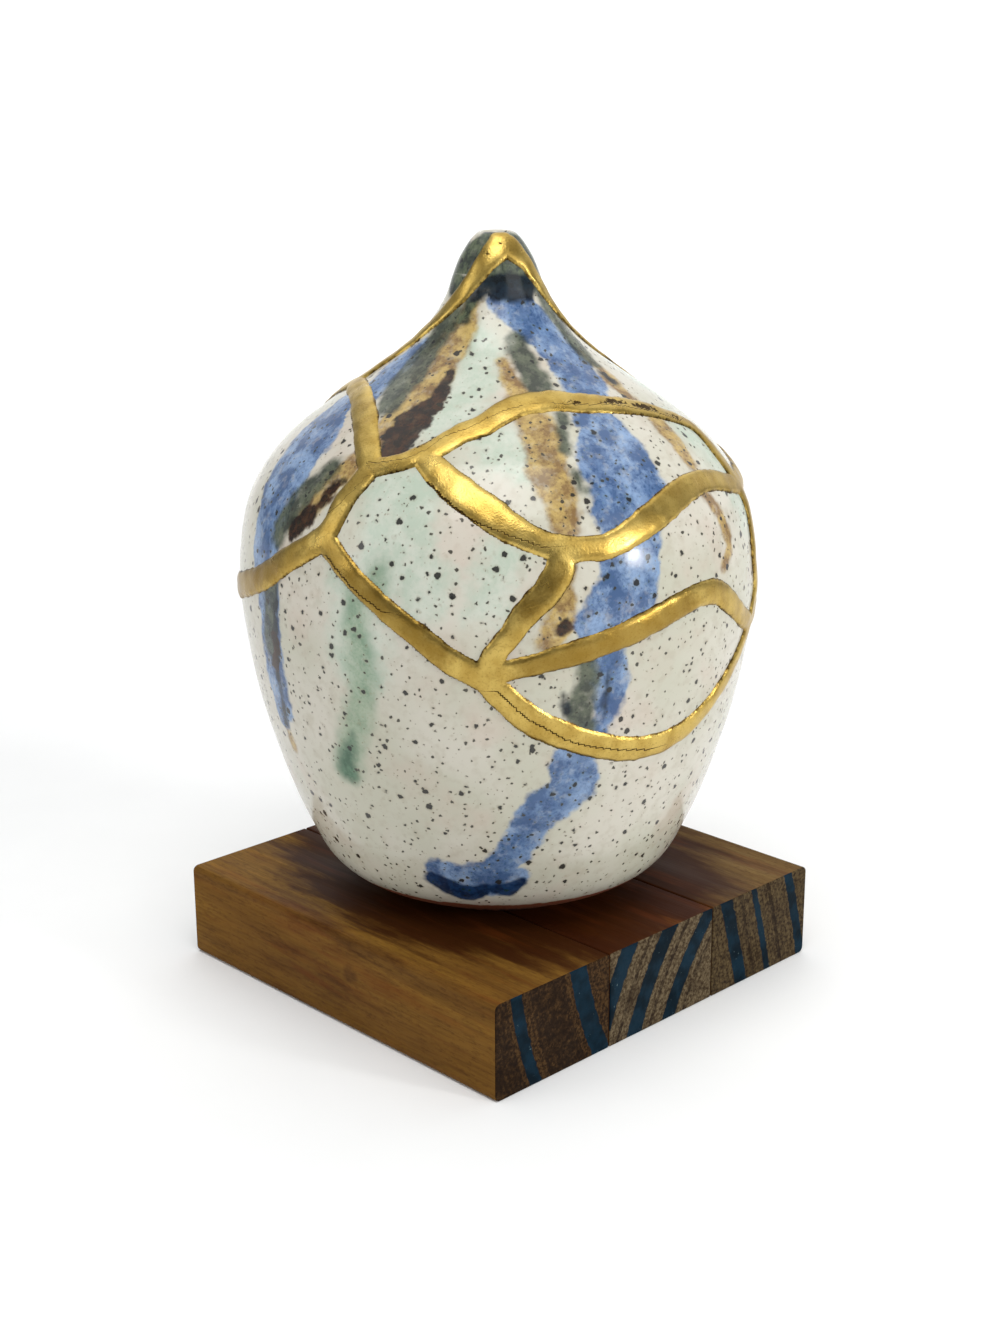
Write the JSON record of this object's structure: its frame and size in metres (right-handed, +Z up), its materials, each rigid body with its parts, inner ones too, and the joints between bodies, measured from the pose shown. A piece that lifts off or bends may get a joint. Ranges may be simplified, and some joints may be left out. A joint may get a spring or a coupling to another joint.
{
  "type": "kintsugi vase",
  "caption": "Small-mouthed glazed stoneware bud vase, broken and mended with raised gold seams, on a square plinth of boards glued side by side.",
  "frame": {"origin": "middle of the plinth's underside, below the vase's axis", "axes": "+Z up along the vase's axis, +X across the boards, +Y along them; the pictured corner is at -X -Y and the painted end grain faces -Y"},
  "size_m": [0.1285, 0.13, 0.1879],
  "materials": {
    "glazed_stoneware": "gloss",
    "gold_lacquer": "satin",
    "plinth_wood": "satin"
  },
  "bodies": {
    "root": {"shard_base": "glazed_stoneware", "shard_left_shoulder": "glazed_stoneware", "shard_top_front": "glazed_stoneware", "shard_back_with_mouth": "glazed_stoneware", "shard_upper_lens": "glazed_stoneware", "shard_middle_left": "glazed_stoneware", "shard_middle_right": "glazed_stoneware", "shard_lower_lens": "glazed_stoneware", "gold_seams": "gold_lacquer", "board_1": "plinth_wood", "board_2": "plinth_wood", "board_3": "plinth_wood"}
  },
  "joints": []
}
